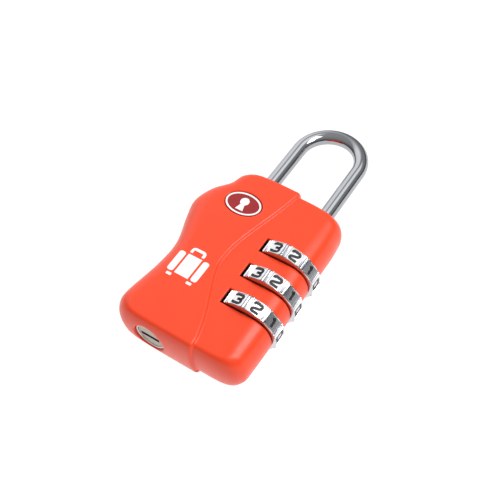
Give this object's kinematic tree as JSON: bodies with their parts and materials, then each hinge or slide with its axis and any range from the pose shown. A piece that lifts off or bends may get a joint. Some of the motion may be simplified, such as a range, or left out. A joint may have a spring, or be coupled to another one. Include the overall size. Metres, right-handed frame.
{
  "type": "luggage combination padlock",
  "caption": "Small travel padlock with a sliding shackle, three rotating number dials along one side and a key plug in the bottom face.",
  "frame": {"origin": "under the middle of the bounding box, on the surface that the padlock lies on", "axes": "+Y along the shackle legs away from the body, +X towards the dials, +Z out of the front face; the padlock lies on its back"},
  "size_m": [0.0314, 0.0627, 0.0134],
  "materials": {
    "casing_plastic": "orange-red moulded plastic, satin with a fine grain",
    "badge_red": "deep red, glossy",
    "print_white": "white pad print",
    "digit_black": "black fill in the engraved digits",
    "bushing_plastic": "dark grey moulded plastic",
    "pressed_steel": "zinc plated",
    "spring_steel": "spring steel",
    "barrel_metal": "satin nickel",
    "plug_metal": "die-cast zinc, dull grey",
    "shackle_chrome": "polished chrome plate on steel",
    "dial_chrome": "chrome plated zinc",
    "hub_brass": "plain brass"
  },
  "bodies": {
    "casing": {"front_shell": "casing_plastic", "back_cover": "casing_plastic", "emblem_badge": "badge_red", "toe_bushing": "bushing_plastic", "heel_bushing": "bushing_plastic", "lock_frame": "pressed_steel", "detent_spring": "spring_steel", "wave_washer": "spring_steel", "key_barrel": "barrel_metal", "keeper_spring": "spring_steel"},
    "shackle": {"shackle": "shackle_chrome", "heel_clip": "spring_steel"},
    "top_dial": {"dial_top": "dial_chrome", "hub_top": "hub_brass"},
    "middle_dial": {"dial_middle": "dial_chrome", "hub_middle": "hub_brass"},
    "bottom_dial": {"dial_bottom": "dial_chrome", "hub_bottom": "hub_brass"},
    "key_plug": {"key_plug": "plug_metal", "plug_wafers": "hub_brass", "wafer_springs": "spring_steel", "plug_cam": "plug_metal", "plug_clip": "spring_steel"},
    "keeper": {"keeper_slide": "pressed_steel"}
  },
  "joints": [
    {"name": "shackle_lift", "type": "slide", "parent": "casing", "child": "shackle", "axis": [0, 1, 0], "range_m": [0, 0.0065]},
    {"name": "top_dial_turn", "type": "hinge", "parent": "casing", "child": "top_dial", "pos_m": [0.00894, -0.00534, 0.0067], "axis": [0, 1, 0], "continuous": true},
    {"name": "middle_dial_turn", "type": "hinge", "parent": "casing", "child": "middle_dial", "pos_m": [0.00894, -0.01184, 0.0067], "axis": [0, 1, 0], "continuous": true},
    {"name": "bottom_dial_turn", "type": "hinge", "parent": "casing", "child": "bottom_dial", "pos_m": [0.00894, -0.01835, 0.0067], "axis": [0, 1, 0], "continuous": true},
    {"name": "key_turn", "type": "hinge", "parent": "casing", "child": "key_plug", "pos_m": [-0.00507, -0.02434, 0.0067], "axis": [0, 1, 0], "range_deg": [0, 90]},
    {"name": "keeper_shift", "type": "slide", "parent": "casing", "child": "keeper", "axis": [-1, 0, 0], "range_m": [0, 0.0016], "deforming": ["keeper_spring"]}
  ],
  "couplings": [
    {"joint": "key_turn", "follows": "keeper_shift", "rad_per_m": 981.7}
  ]
}
